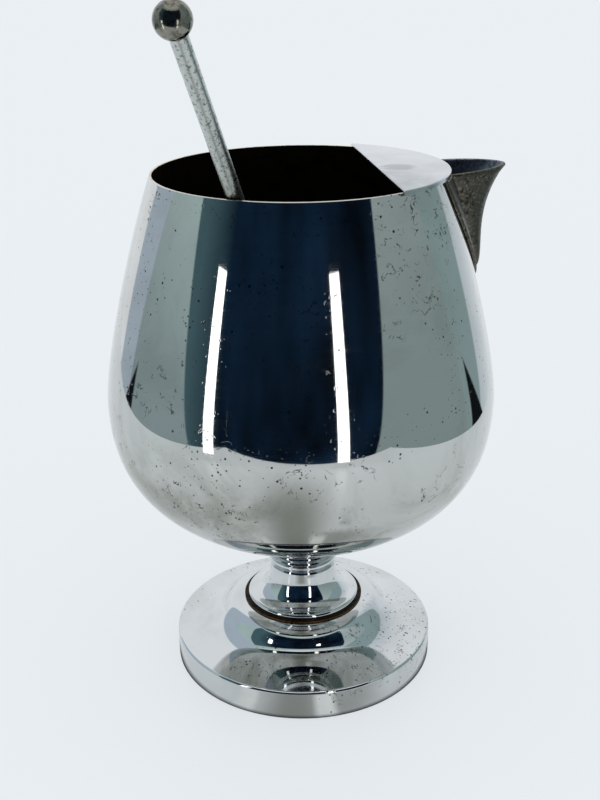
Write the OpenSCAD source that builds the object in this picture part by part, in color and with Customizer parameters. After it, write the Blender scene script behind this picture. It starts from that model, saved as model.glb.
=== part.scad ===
// Footed cocktail pitcher: a spun bowl with an ice guard and a cast pouring spout,
// on a spool stem and a hollow foot drawn together by a stud, with a stirring rod.
// The origin is the centre of the foot's rest face. +Z is up and +X is the way it pours.

/* [Bowl] */
// Height of the rim above the table
rim_h = 229; // [222:1:240]
// Inside radius of the rim
rim_r = 60; // [56:0.5:64]
// Thickness of the spun sheet
bowl_wall = 1; // [0.8:0.1:1.4]
// Outside radius at the widest place
belly_r = 84.6; // [80:0.2:90]
// Height of the widest place above the table
belly_h = 131.9; // [126:0.1:138]
// Height of the flat underside that the stem carries
floor_h = 65.5; // [62:0.5:68]
// Radius of that flat underside
seat_r = 24; // [23.6:0.1:26]

/* [Ice guard] */
// Outside radius of the guard
guard_r = 62.6; // [62.5:0.1:66]
// Distance from the bowl's axis to the guard's straight edge
guard_chord = 32.2; // [20:0.2:44]
// Thickness of the guard's sheet
guard_wall = 1.1; // [0.8:0.1:1.4]
// How far the turned-down edge reaches below the rim
guard_skirt = 0.7; // [0.4:0.1:1.5]

/* [Spout] */
// Distance from the bowl's axis to the pouring lip
spout_reach = 88; // [82:0.5:98]
// Half the width of the trough at the rim
trough_half_w = 17.5; // [14:0.5:20]
// How far the trough reaches down the bowl
trough_drop = 45; // [36:1:55]
// Half the width of the flange at the rim
flange_half_w = 30; // [24:0.5:34]
// How far the flange's tip lies below the trough's
flange_tail = 3; // [2:0.5:6]
// Thickness of the flange
flange_t = 1.3; // [1:0.1:2]
// Thickness of the trough's cast wall
trough_wall = 1.7; // [1.3:0.1:2.4]
// Rise of the lip over the trough's edge at the bowl
lip_rise = 1.2; // [0.5:0.1:4]

/* [Stem] */
// Radius of the waist
waist_r = 15; // [14:0.1:17]
// Radius where the stem meets the bowl
stem_top_r = 23.6; // [21:0.1:23.6]
// Radius of the lip at the bottom
stem_lip_r = 25.9; // [23:0.1:27]
// Height of the waist above the stem's bottom
flare_h = 12.3; // [10:0.1:15]
// Thickness of the stem's sheet
stem_wall = 1.4; // [1:0.1:2]
// Thickness of the steel ring under the stem
ring_t = 0.8; // [0.6:0.1:2]
// Outside radius of that ring
ring_r = 27.7; // [26.5:0.1:30]

/* [Foot] */
// Outside radius of the foot
foot_r = 60; // [54:0.5:66]
// Height of the foot's upright rim
foot_rim_h = 14; // [11:0.5:17]
// Height of the hub's flat top above the table
hub_h = 28.1; // [26:0.1:30]
// Radius of the hub's flat top
hub_r = 26.5; // [25.5:0.1:27]
// Radius of the middle of the step round the hub
step_r = 37.3; // [35:0.1:39]
// Height of that middle of the step
step_h = 22.2; // [21:0.1:23.5]
// Thickness of the foot's sheet
foot_wall = 1.2; // [0.9:0.1:1.6]
// Width of the foot's turned-in bottom edge
hem_w = 4; // [2.5:0.5:6]

/* [Clamping hardware] */
// Diameter of the stud
stud_d = 8; // [6:0.5:10]
// Width across the nut's flats
nut_af = 13; // [12:0.5:17]
// Thickness of the nut
nut_t = 6.5; // [5:0.5:8]
// Thickness of the lock washer
lock_t = 2; // [1.2:0.1:2.2]
// Radius of the clamping plate
plate_r = 18; // [13:0.5:21]
// Thickness of the clamping plate
plate_t = 2; // [1.5:0.1:3]
// Radius of the boss brazed under the bowl
boss_r = 10; // [8:0.5:11.5]
// Length of that boss
boss_l = 12; // [9:0.5:14]

/* [Stirring rod] */
// Diameter of the rod
rod_d = 6.35; // [5:0.05:8]
// Diameter of the ball on its end
ball_d = 12.7; // [10:0.1:16]
// Distance from the rim's level to the ball's centre, along the rod
rod_out = 86; // [60:1:110]
// Lean of the rod away from upright
rod_lean = 40; // [36:0.5:43]
// Direction of the rod's lean, measured from the spout
rod_az = -112.9; // [-120:0.1:-105]
// Place on the rim that the rod leans on, measured from the spout
rest_az = -123.1; // [-130:0.1:-115]

/* [Hidden] */
$fn = 96;
// Space left between solids that rest on each other
seat_gap = 0.25;
// How far a cut runs past the face that it opens
over = 1;
// Space between the stud and the holes that it passes through
stud_gap = 0.2;
// A touch that keeps a joined shape whole
weld = 0.01;

// Curves of the bowl's outside line, as shares of the spans that they cross
floor_slope = 17;
floor_handle_share = 0.69;
belly_low_handle_share = 0.569;
belly_high_handle_share = 0.212;
rim_handle_share = 0.206;
rim_slope = 21;
// Points on each curve
low_steps = 30;
high_steps = 22;

// Small shapes of the stem and the foot
stem_top_slope = 24;
waist_handle_share = 0.18;
stem_top_handle_share = 0.53;
stem_steps = 14;
stem_lip_round = 1.3;
stem_lip_h = 0.9;
step_slope = 54;
step_handle_share = 0.417;
hub_handle_share = 0.6;
hub_steps = 9;
brow_r = 1.5;
brow_slope = 8;
brow_handle_share = 0.56;
skirt_handle_share = 0.21;
skirt_steps = 11;
foot_edge_round = 0.9;
ring_bore_share = 0.7;
round_steps = 6;
brow_steps = 5;

// Shape of the spout
plan_power = 1.8;
plan_side_power = 0.6;
keel_round_share = 0.24;
keel_power = 2.6;
trough_round_share = 0.2;
trough_power = 0.9;
round_power = 4;
flange_power = 0.75;
flange_tip_half = 1.6;
flange_edge_share = 0.5;
spout_rows = 24;
row_power = 0.9;
flange_columns = 5;
trough_columns = 15;
notch_ledge = 1.6;
notch_drop_share = 0.78;
notch_rows = 14;
notch_power = 0.25;

// Small shapes of the hardware and the rod
thread_in = 9;
stud_tip = 3;
chamfer = 0.8;
hex_sides = 6;
lock_rim = 3.2;
lock_slit = 1.5;
tenon_d_share = 0.74;
tenon_l_share = 0.45;
ball_flat_share = 0.45;

// A point a share t of the way along a cubic curve
function cubic(a, b, c, d, t) =
    pow(1 - t, 3) * a + 3 * pow(1 - t, 2) * t * b + 3 * (1 - t) * t * t * c + pow(t, 3) * d;

// Points of a cubic curve after its start
function cubic_line(a, b, c, d, steps) = [for (i = [1:steps]) cubic(a, b, c, d, i / steps)];

// Points of an arc
function arc(centre, r, from, to, steps = round_steps) =
    [for (i = [0:steps]) centre + r * [cos(from + (to - from) * i / steps),
                                       sin(from + (to - from) * i / steps)]];

function unit(v) = v / norm(v);

// The left-hand normal of the step from a to b
function left(a, b) = unit([a[1] - b[1], b[0] - a[0]]);

// The normal at point i of a line, mitred so that an offset keeps its thickness
function mitre(line, i) =
    let (n = len(line), a = left(line[max(i - 1, 0)], line[max(i, 1)]),
         b = left(line[min(i, n - 2)], line[min(i + 1, n - 1)]))
    (a + b) / (1 + a * b);

// A line moved t to its left
function beside(line, t) = [for (i = [0:len(line) - 1]) line[i] + t * mitre(line, i)];

function reversed(line) = [for (i = [len(line) - 1:-1:0]) line[i]];

// A closed outline between a line and the same line moved t to its left
function sheet(line, t) = concat(line, reversed(beside(line, t)));

// Outside line of the bowl, from the edge of its flat seat up to the rim
rim_out_r = rim_r + bowl_wall / cos(rim_slope);
floor_way = [cos(floor_slope), sin(floor_slope)];
rim_way = [sin(rim_slope), -cos(rim_slope)];
floor_end = [seat_r, floor_h];
belly = [belly_r, belly_h];
rim_end = [rim_out_r, rim_h];
low_span = belly_h - floor_h;
high_span = rim_h - belly_h;
bowl_line = concat(
    [floor_end],
    cubic_line(floor_end, floor_end + floor_handle_share * (belly_r - seat_r) * floor_way,
               belly - [0, belly_low_handle_share * low_span], belly, low_steps),
    cubic_line(belly, belly + [0, belly_high_handle_share * high_span],
               rim_end + rim_handle_share * high_span * rim_way, rim_end, high_steps)
);
bowl_inside = beside(concat([[0, floor_h]], bowl_line), bowl_wall);

// Outside radius of the bowl at a height
bowl_table = [for (q = bowl_line) [q[1], q[0]]];
function bowl_out(h) = lookup(h, bowl_table);

// Levels of the spout
spout_low_h = rim_h - trough_drop - flange_tail;
spout_wall_top_h = rim_h - guard_skirt - seat_gap;
back_gap = seat_gap;

// How far down the trough and the flange a height lies, from 0 at the rim to 1 at their ends
function trough_t(h) = min(max((rim_h - h) / trough_drop, 0), 1);
function flange_t_at(h) = min(max((rim_h - h) / (trough_drop + flange_tail), 0), 1);

// Half widths of the trough and the flange at a height
function trough_half(h) =
    let (t = trough_t(h))
    trough_half_w * (trough_round_share * sqrt(1 - pow(t, round_power))
                     + (1 - trough_round_share) * pow(1 - t, trough_power));
function flange_half(h) =
    max(flange_tip_half, flange_half_w * pow(1 - pow(flange_t_at(h), 2), flange_power));

// Distance that the keel stands out from the flange's face at a height
keel_out_max = spout_reach - rim_out_r - back_gap - flange_t;
function keel_out(h) =
    let (t = trough_t(h))
    keel_out_max * (keel_round_share * sqrt(1 - pow(t, round_power))
                    + (1 - keel_round_share) * pow(1 - t, keel_power));

// Distance forward of a surface that wraps the bowl, a thickness t proud of it, at a side place y
function wrap(h, t, y) = sqrt(pow(bowl_out(h) + back_gap + t, 2) - y * y);

// Side and forward shares round the trough's plan, from its root at 0 to the keel at 90 degrees
function plan_side(turn) = pow(cos(turn), 2 * plan_side_power);
function plan_out(turn) = pow(sin(turn), 2 / plan_power);

// Column c of a spout surface: its flange part runs from the flange's edge to the trough's root,
// and its trough part from there round to the keel. Columns past the keel mirror the first ones.
half_columns = flange_columns + trough_columns;
spout_columns = 2 * half_columns;
function column_turn(c) = 90 * (c - flange_columns) / trough_columns;
function root_half(h, wall) = max(trough_half(h) - wall, flange_tip_half * flange_edge_share);
function spout_point(c, h, face, wall) =
    let (side = c > half_columns ? -1 : 1,
         k = c > half_columns ? spout_columns - c : c,
         root = min(root_half(h, wall), flange_half(h) * (1 - weld)),
         edge = flange_half(h),
         y = k < flange_columns ? edge + (root - edge) * k / flange_columns
                                : root * plan_side(column_turn(k)),
         thin = k == 0 ? flange_edge_share : 1,
         keel = wrap(h, face, 0) + max(keel_out(h) + (face > 0 ? 0 : flange_t) - wall, 0),
         x = k <= flange_columns ? wrap(h, face * thin, y)
             : wrap(h, face, root) + (keel - wrap(h, face, root)) * plan_out(column_turn(k)))
    [x, side * y, h];

// Top level of a column: low where the guard's edge passes over, and highest at the lip
function column_top(c) =
    let (k = c > half_columns ? spout_columns - c : c)
    spout_wall_top_h + (k > flange_columns ? lip_rise * plan_out(column_turn(k)) : 0);
function row_h(c, r) =
    spout_low_h + (column_top(c) - spout_low_h) * (1 - cos(90 * pow(r / spout_rows, row_power)));

module revolve(outline) {
    rotate_extrude() polygon(outline);
}

module bowl() {
    // The floor is a flat disc, and the wall rises from it along the bowl's line
    inner = concat([for (q = bowl_inside) if (q[1] < rim_h) q], [[rim_r, rim_h]]);
    color("gainsboro") difference() {
        revolve(concat([[0, floor_h]], bowl_line, reversed(inner)));
        notch();
    }
}

// The pouring notch: an opening in the wall inside the trough, open at the rim
module notch() {
    low = rim_h - notch_drop_share * trough_drop;
    heights = [for (i = [0:notch_rows]) low + (rim_h - low) * i / notch_rows];
    function notch_half(h) = (trough_half(h) - trough_wall - notch_ledge)
                             * pow((h - low) / (rim_h - low), notch_power);
    right = [for (h = heights) [notch_half(h), h]];
    left = [for (q = reversed(right)) [-q[0], q[1]]];
    top = [[right[notch_rows][0], rim_h + over], [-right[notch_rows][0], rim_h + over]];
    rotate([90, 0, 90]) linear_extrude(belly_r) polygon(concat(right, top, left));
}

module guard_plan(r) {
    intersection() {
        circle(r);
        translate([guard_chord, -guard_r]) square([guard_r, 2 * guard_r]);
    }
}

module ice_guard() {
    skirt_in_r = guard_r - guard_wall;
    color("whitesmoke") {
        translate([0, 0, rim_h]) linear_extrude(guard_wall) guard_plan(guard_r);
        translate([0, 0, rim_h - guard_skirt]) linear_extrude(guard_skirt + weld) difference() {
            guard_plan(guard_r);
            circle(skirt_in_r);
        }
    }
}

module spout() {
    columns = spout_columns + 1;
    rows = spout_rows + 1;
    outer = [for (r = [0:spout_rows]) for (c = [0:spout_columns])
                 spout_point(c, row_h(c, r), flange_t, 0)];
    inner = [for (r = [0:spout_rows]) for (c = [0:spout_columns])
                 spout_point(c, row_h(c, r), 0, trough_wall)];
    n = columns * rows;
    function at(r, c) = r * columns + c;
    skin = [for (r = [0:spout_rows - 1]) for (c = [0:spout_columns - 1]) each [
        [at(r, c), at(r + 1, c), at(r + 1, c + 1)], [at(r, c), at(r + 1, c + 1), at(r, c + 1)],
        [n + at(r, c), n + at(r + 1, c + 1), n + at(r + 1, c)],
        [n + at(r, c), n + at(r, c + 1), n + at(r + 1, c + 1)]]];
    ends = [for (r = [0:spout_rows - 1]) each [
        [at(r, 0), n + at(r, 0), n + at(r + 1, 0)], [at(r, 0), n + at(r + 1, 0), at(r + 1, 0)],
        [at(r, spout_columns), n + at(r + 1, spout_columns), n + at(r, spout_columns)],
        [at(r, spout_columns), at(r + 1, spout_columns), n + at(r + 1, spout_columns)]]];
    rims = [for (c = [0:spout_columns - 1]) each [
        [at(spout_rows, c), n + at(spout_rows, c), n + at(spout_rows, c + 1)],
        [at(spout_rows, c), n + at(spout_rows, c + 1), at(spout_rows, c + 1)],
        [at(0, c), n + at(0, c + 1), n + at(0, c)], [at(0, c), at(0, c + 1), n + at(0, c + 1)]]];
    color("dimgray") polyhedron(concat(outer, inner), concat(skin, ends, rims));
}

module stem() {
    bottom = hub_h + ring_t;
    waist_low = bottom + flare_h;
    lip_top = bottom + stem_lip_h + stem_lip_round;
    flare_in = stem_lip_r - stem_lip_round - waist_r;
    top = [stem_top_r, floor_h];
    waist = [waist_r, waist_low];
    rise = floor_h - waist_low;
    top_way = [sin(stem_top_slope), cos(stem_top_slope)];
    line = concat(
        [top + over * top_way, top],
        cubic_line(top, top - stem_top_handle_share * rise * top_way,
                   waist + [0, waist_handle_share * rise], waist, stem_steps),
        [for (i = [0:2 * round_steps]) let (a = 180 + 90 * i / (2 * round_steps))
            [waist_r + flare_in * (1 + cos(a)), waist_low + (waist_low - lip_top) * sin(a)]],
        arc([stem_lip_r - stem_lip_round, bottom + stem_lip_h], stem_lip_round, 90, 0),
        [[stem_lip_r, bottom]]
    );
    clean = [for (i = [0:len(line) - 1]) if (i == 0 || norm(line[i] - line[i - 1]) > weld) line[i]];
    // The sheet is drawn past the bowl's seat and trimmed flat there
    color("silver") intersection() {
        revolve(sheet(clean, -stem_wall));
        cylinder(r = ring_r, h = floor_h);
    }
}

module stem_ring() {
    color("saddlebrown") translate([0, 0, hub_h]) linear_extrude(ring_t) difference() {
        circle(ring_r);
        circle(ring_r * ring_bore_share);
    }
}

module foot() {
    hole_r = stud_d / 2 + stud_gap;
    brow = [foot_r - brow_r, foot_rim_h - brow_r];
    hub_end = [hub_r, hub_h];
    step = [step_r, step_h];
    step_way = [cos(step_slope), -sin(step_slope)];
    brow_start = brow + brow_r * [sin(brow_slope), cos(brow_slope)];
    brow_way = [cos(brow_slope), -sin(brow_slope)];
    hub_span = step_r - hub_r;
    skirt_span = brow_start[0] - step_r;
    // The brow goes on from the end of the curve, one step round
    brow_turn = (90 - brow_slope) * (1 - 1 / brow_steps);
    color("silver") revolve(sheet(concat(
        [[hole_r, hub_h], hub_end],
        cubic_line(hub_end, hub_end + [hub_handle_share * hub_span, 0],
                   step - step_handle_share * hub_span * step_way, step, hub_steps),
        cubic_line(step, step + skirt_handle_share * skirt_span * step_way,
                   brow_start - brow_handle_share * skirt_span * brow_way, brow_start,
                   skirt_steps),
        arc(brow, brow_r, brow_turn, 0, brow_steps - 1),
        arc([foot_r - foot_edge_round, foot_edge_round], foot_edge_round, 0, -90, brow_steps),
        [[foot_r - hem_w, 0]]
    ), -foot_wall));
}

module bowl_boss() {
    bore_l = thread_in + over;
    color("peru") translate([0, 0, floor_h - boss_l]) difference() {
        cylinder(r = boss_r, h = boss_l);
        translate([0, 0, -over]) cylinder(r = stud_d / 2 + stud_gap, h = bore_l + over);
    }
}

// Levels of the clamping parts, from the hub's sheet down
plate_low_h = hub_h - foot_wall - plate_t;
lock_low_h = plate_low_h - lock_t;
nut_low_h = lock_low_h - nut_t;

module tie_stud() {
    stud_low_h = nut_low_h - stud_tip;
    stud_l = floor_h - boss_l + thread_in - stud_low_h;
    color("darkgray") translate([0, 0, stud_low_h]) {
        cylinder(r1 = stud_d / 2 - chamfer, r2 = stud_d / 2, h = chamfer);
        translate([0, 0, chamfer]) cylinder(d = stud_d, h = stud_l - 2 * chamfer);
        translate([0, 0, stud_l - chamfer])
            cylinder(r1 = stud_d / 2, r2 = stud_d / 2 - chamfer, h = chamfer);
    }
}

module clamp_plate() {
    color("darkgray") translate([0, 0, plate_low_h]) difference() {
        cylinder(r = plate_r, h = plate_t);
        translate([0, 0, -over]) cylinder(r = stud_d / 2 + stud_gap, h = plate_t + 2 * over);
    }
}

module lock_washer() {
    hole_r = stud_d / 2 + stud_gap;
    color("darkgray") translate([0, 0, lock_low_h]) difference() {
        cylinder(r = hole_r + lock_rim, h = lock_t);
        translate([0, 0, -over]) cylinder(r = hole_r, h = lock_t + 2 * over);
        translate([0, -lock_slit / 2, -over]) cube([hole_r + lock_rim + over, lock_slit, lock_t + 2 * over]);
    }
}

module hex_nut() {
    corner_r = nut_af / 2 / cos(180 / hex_sides);
    color("darkgray") translate([0, 0, nut_low_h]) difference() {
        intersection() {
            cylinder(r = corner_r, h = nut_t, $fn = hex_sides);
            // The turned cone that breaks the lower corners
            cylinder(r1 = nut_af / 2, r2 = nut_af / 2 + nut_t, h = nut_t);
        }
        translate([0, 0, -over]) cylinder(r = stud_d / 2 + stud_gap, h = nut_t + 2 * over);
    }
}

// The rod's axis crosses the rim's level at rod_cross_r from the bowl's axis, so that its side
// clears the rim's inner edge by the seat gap
rod_cross_r = rim_r - (rod_d / 2 + seat_gap) / cos(rod_lean);
rod_cross = [rod_cross_r * cos(rest_az), rod_cross_r * sin(rest_az), rim_h];
rod_way = [sin(rod_lean) * cos(rod_az), sin(rod_lean) * sin(rod_az), cos(rod_lean)];

// Distance from a point to the step from a to b, and the gap between the rod's rounded end,
// a distance down from the rim, and the bowl's inside, below 0 once the rod is through it
function away(q, a, b) =
    let (s = b - a, t = max(0, min(1, (q - a) * s / (s * s))))
    norm(q - a - t * s);
function end_gap(down) =
    let (p = rod_cross - down * rod_way, q = [norm([p[0], p[1]]), p[2]])
    q[0] > bowl_out(q[1]) ? -rod_d
    : min([for (i = [0:len(bowl_inside) - 2]) away(q, bowl_inside[i], bowl_inside[i + 1])])
      - rod_d / 2 - seat_gap;

// The longest reach at which the rounded end still clears the wall, searched in halves
function reach(low, high, steps) =
    steps == 0 ? low
    : let (mid = (low + high) / 2)
      end_gap(mid) > 0 ? reach(mid, high, steps - 1) : reach(low, mid, steps - 1);
search_steps = 20;
rod_down = reach(rim_h - belly_h, 2 * belly_r + rim_h - belly_h, search_steps);

// Places a piece drawn along +Z from the rim's level onto the leaning rod
module along_rod() {
    translate(rod_cross) rotate([0, rod_lean, rod_az]) children();
}

ball_flat = ball_d / 2 * sqrt(1 - pow(ball_flat_share, 2));
tenon_l = ball_d * tenon_l_share;

module stirring_rod() {
    color("lightslategray") along_rod() {
        translate([0, 0, -rod_down]) {
            sphere(d = rod_d);
            cylinder(d = rod_d, h = rod_down + rod_out - ball_flat);
        }
        translate([0, 0, rod_out - ball_flat - weld]) cylinder(d = rod_d * tenon_d_share, h = tenon_l + weld);
    }
}

module rod_ball() {
    bore_r = rod_d * tenon_d_share / 2 + stud_gap / 2;
    color("slategray") along_rod() translate([0, 0, rod_out]) difference() {
        sphere(d = ball_d);
        // The flat that seats on the rod's shoulder, and the hole for its tenon
        translate([-ball_d, -ball_d, -ball_flat - ball_d]) cube([2 * ball_d, 2 * ball_d, ball_d]);
        translate([0, 0, -ball_flat - over]) cylinder(r = bore_r, h = tenon_l + stud_gap + over);
    }
}

bowl();
ice_guard();
spout();
stem();
stem_ring();
foot();
bowl_boss();
tie_stud();
clamp_plate();
lock_washer();
hex_nut();
stirring_rod();
rod_ball();
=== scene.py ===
import math

import bpy
import numpy as np
from mathutils import Matrix


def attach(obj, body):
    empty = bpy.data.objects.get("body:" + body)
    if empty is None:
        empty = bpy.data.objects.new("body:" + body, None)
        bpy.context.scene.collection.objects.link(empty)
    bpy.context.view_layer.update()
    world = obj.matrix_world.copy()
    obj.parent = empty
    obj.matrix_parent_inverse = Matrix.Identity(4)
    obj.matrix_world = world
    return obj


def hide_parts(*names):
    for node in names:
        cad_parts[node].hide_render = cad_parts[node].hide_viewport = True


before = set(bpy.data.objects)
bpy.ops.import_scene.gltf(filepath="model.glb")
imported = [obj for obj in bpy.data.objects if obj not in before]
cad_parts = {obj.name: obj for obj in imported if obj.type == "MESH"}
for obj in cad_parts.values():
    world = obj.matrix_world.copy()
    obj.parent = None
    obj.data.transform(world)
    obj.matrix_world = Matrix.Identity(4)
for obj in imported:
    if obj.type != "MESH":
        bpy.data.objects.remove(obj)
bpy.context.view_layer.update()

# Sizes of the part's source, in millimetres, degrees and shares of a length
RIM_H, RIM_R, BOWL_WALL = 229, 60, 1
BELLY_R, BELLY_H = 84.6, 131.9
FLOOR_H, SEAT_R = 65.5, 24
FLOOR_SLOPE, RIM_SLOPE = 17, 21
FLOOR_HANDLE, BELLY_LOW_HANDLE, BELLY_HIGH_HANDLE, RIM_HANDLE = 0.69, 0.569, 0.212, 0.206
GUARD_R, GUARD_CHORD, GUARD_WALL, GUARD_SKIRT = 62.6, 32.2, 1.1, 0.7
SPOUT_REACH, TROUGH_HALF_W, TROUGH_DROP = 88, 17.5, 45
FLANGE_HALF_W, FLANGE_TAIL, FLANGE_T = 30, 3, 1.3
TROUGH_WALL, LIP_RISE = 1.7, 1.2
WAIST_R, STEM_TOP_R, STEM_LIP_R, FLARE_H, STEM_WALL = 15, 23.6, 25.9, 12.3, 1.4
RING_T, RING_R = 0.8, 27.7
FOOT_R, FOOT_RIM_H, HUB_H, HUB_R, STEP_R, STEP_H = 60, 14, 28.1, 26.5, 37.3, 22.2
FOOT_WALL, HEM_W = 1.2, 4
STUD_D = 8
BROW_R, EDGE_ROUND, STEP_SLOPE, BROW_SLOPE = 1.5, 0.9, 54, 8
BROW_HANDLE, SKIRT_HANDLE, STEP_HANDLE, HUB_HANDLE = 0.56, 0.21, 0.417, 0.6
LIP_ROUND, LIP_H, STEM_TOP_SLOPE, RING_BORE = 1.3, 0.9, 24, 0.7
ROD_D, BALL_D, ROD_OUT, ROD_LEAN, ROD_AZ, REST_AZ = 6.35, 12.7, 86, 40, -112.9, -123.1
ROD_DOWN = 182.143
TENON_D_SHARE, TENON_L_SHARE, TENON_GAP, HOLE_SPARE, BALL_FLAT_SHARE = 0.74, 0.45, 0.1, 0.2, 0.45
SEAT_GAP, STUD_GAP, NOTCH_LEDGE = 0.25, 0.2, 1.6
NOTCH_LOW, NOTCH_POWER = RIM_H - 0.78 * TROUGH_DROP, 0.25
TROUGH_ROUND, TROUGH_POWER, ROUND_POWER, KEEL_ROUND, KEEL_POWER = 0.2, 0.9, 4, 0.24, 2.6
PLAN_POWER, PLAN_SIDE_POWER, ROW_POWER, FLANGE_POWER, FLANGE_TIP_HALF = 1.8, 0.6, 0.9, 0.75, 1.6

# Sizes of this file's own: the stem's waist is higher than the source's, as the bands in its chrome show, and
# the spinner's tool left five rings round it under the bowl
WAIST_RAISE, WAIST_HANDLE, STEM_TOP_HANDLE = 3.8, 0.3, 0.62
RINGS_FROM, RING_PITCH, RING_DEPTH, RING_FADE = 47.2, 3.4, 0.22, 1.5


def unit(degrees):
    """The direction (cos, sin) of an angle."""
    return np.array([math.cos(math.radians(degrees)), math.sin(math.radians(degrees))])


def curve(a, b, c, d, t):
    """Points of a cubic curve at the shares t, as rows (r, z, normal r, normal z), normals to its right."""
    a, b, c, d = (np.array(v, float) for v in (a, b, c, d))
    t = np.asarray(t)[:, None]
    p = (1 - t) ** 3 * a + 3 * (1 - t) ** 2 * t * b + 3 * (1 - t) * t * t * c + t ** 3 * d
    v = 3 * (1 - t) ** 2 * (b - a) + 6 * (1 - t) * t * (c - b) + 3 * t * t * (d - c)
    v /= np.linalg.norm(v, axis=1)[:, None]
    return np.hstack([p, v[:, 1:], -v[:, :1]])


def straight(a, b, n=1):
    """n + 1 points of a straight line, with normals to its right."""
    a, b = np.array(a, float), np.array(b, float)
    v = (b - a) / np.linalg.norm(b - a)
    return np.hstack([a + np.linspace(0, 1, n + 1)[:, None] * (b - a), np.tile([v[1], -v[0]], (n + 1, 1))])


def round_corner(centre, r, start, end, n=10):
    """n + 1 points of an arc. A rising angle is an outward round, a falling one a hollow cove."""
    t = np.radians(np.linspace(start, end, n + 1))
    d = np.stack([np.cos(t), np.sin(t)], 1)
    return np.hstack([np.array(centre, float) + r * d, d * (1 if end > start else -1)])


def other_face(line, wall):
    """The far face of a sheet: the line moved by the wall against its normals and run backwards.
    Points that come nearer to the line than the wall, as at a tight round, are dropped."""
    q = line.copy()
    q[:, :2] -= wall * q[:, 2:]
    q[:, 2:] *= -1
    fine = np.linspace(0, len(line) - 1, 12 * len(line))
    fine = np.stack([np.interp(fine, np.arange(len(line)), line[:, k]) for k in (0, 1)], 1)
    near = np.linalg.norm(q[:, None, :2] - fine[None], axis=2).min(1)
    return q[near > wall - 0.01][::-1]


def chain(*lines, edge=0.12, steps=4):
    """Joins lines end to end. A corner between two gets a small round that starts a length edge before it."""
    out = [lines[0]]
    for s in lines[1:]:
        a, b = out[-1].copy(), s.copy()
        n0, n1 = a[-1, 2:].copy(), b[0, 2:].copy()
        if n0 @ n1 > 0.9995:
            out[-1] = a[:-1]
        else:
            corner = (a[-1, :2] + b[0, :2]) / 2
            a[-1, :2] = corner - edge * np.array([-n0[1], n0[0]])
            b[0, :2] = corner + edge * np.array([-n1[1], n1[0]])
            k = np.linspace(0, 1, steps + 2)[1:-1, None]
            q = (1 - k) ** 2 * a[-1, :2] + 2 * k * (1 - k) * corner + k * k * b[0, :2]
            m = (1 - k) * n0 + k * n1
            out[-1] = a
            out.append(np.hstack([q, m / np.linalg.norm(m, axis=1)[:, None]]))
        out.append(b)
    return np.vstack(out)


def piece(name, points, faces, metal, normals=None, body="pitcher", nodes=(), crease=35, flat=0,
          others=(), finish=None):
    """A mesh from whole arrays, in millimetres. It rides on a body and stands for CAD nodes.
    normals are one per point, and the last flat faces keep their own. Without them, edges over crease stay
    sharp. others are further finishes, and finish has each face's number among them all."""
    mesh = bpy.data.meshes.new(name)
    points = np.asarray(points, float) / 1000
    sizes = np.concatenate([np.full(len(f), f.shape[1]) for f in faces])
    corners = np.concatenate([f.ravel() for f in faces])
    mesh.vertices.add(len(points))
    mesh.vertices.foreach_set("co", points.astype(np.float32).ravel())
    mesh.loops.add(len(corners))
    mesh.loops.foreach_set("vertex_index", corners.astype(np.int32))
    mesh.polygons.add(len(sizes))
    mesh.polygons.foreach_set("loop_start", (np.cumsum(sizes) - sizes).astype(np.int32))
    mesh.polygons.foreach_set("use_smooth", np.ones(len(sizes), bool))
    mesh.update(calc_edges=True)
    if normals is None:
        mesh.set_sharp_from_angle(angle=math.radians(crease))
    else:
        at = np.asarray(normals, float)[corners]
        if flat:
            own = np.empty(len(sizes) * 3)
            mesh.polygons.foreach_get("normal", own)
            of = np.repeat(np.arange(len(sizes)), sizes)
            late = of >= len(sizes) - flat
            at[late] = own.reshape(-1, 3)[of[late]]
        mesh.normals_split_custom_set(at.tolist())
    for m in (metal, *others):
        mesh.materials.append(m)
    if finish is not None:
        mesh.polygons.foreach_set("material_index", finish.astype(np.int32))
    obj = bpy.data.objects.new(name, mesh)
    bpy.context.scene.collection.objects.link(obj)
    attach(obj, body)
    if nodes:
        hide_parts(*nodes)
    return obj


def quads(rows, columns, closed=True):
    """The faces of a grid of points numbered row by row. A closed one joins its last column to its first."""
    i, j = np.arange(rows - 1)[:, None], np.arange(columns if closed else columns - 1)[None, :]
    j1 = (j + 1) % columns
    return np.stack([i * columns + j, i * columns + j1, (i + 1) * columns + j1, (i + 1) * columns + j],
                    -1).reshape(-1, 4)


def spun(profile, columns=288):
    """A profile turned about Z: point (r, z) at angle a goes to (r cos a, r sin a, z).
    An end on the axis becomes a pole, and a profile with no end there is closed on itself."""
    poles = profile[:, 0] < 1e-6
    side = profile[~poles]
    a = 2 * np.pi * np.arange(columns) / columns
    ring = np.stack([np.cos(a), np.sin(a)], 1)
    level = np.ones((len(side), columns, 1))
    points = np.concatenate([side[:, None, :1] * ring, side[:, None, 1:2] * level], 2).reshape(-1, 3)
    normals = np.concatenate([side[:, None, 2:3] * ring, side[:, None, 3:] * level], 2).reshape(-1, 3)
    if not poles.any():
        return points, [quads(len(side) + 1, columns) % len(points)], normals
    faces = [quads(len(side), columns)]
    j, j1 = np.arange(columns), (np.arange(columns) + 1) % columns
    last = (len(side) - 1) * columns
    if poles[0]:
        faces.append(np.stack([np.full(columns, len(points)), j1, j], 1))
        points = np.vstack([points, [0, 0, profile[0, 1]]])
        normals = np.vstack([normals, [0, 0, profile[0, 3]]])
    if poles[-1]:
        faces.append(np.stack([np.full(columns, len(points)), last + j, last + j1], 1))
        points = np.vstack([points, [0, 0, profile[-1, 1]]])
        normals = np.vstack([normals, [0, 0, profile[-1, 3]]])
    return points, faces, normals


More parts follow.
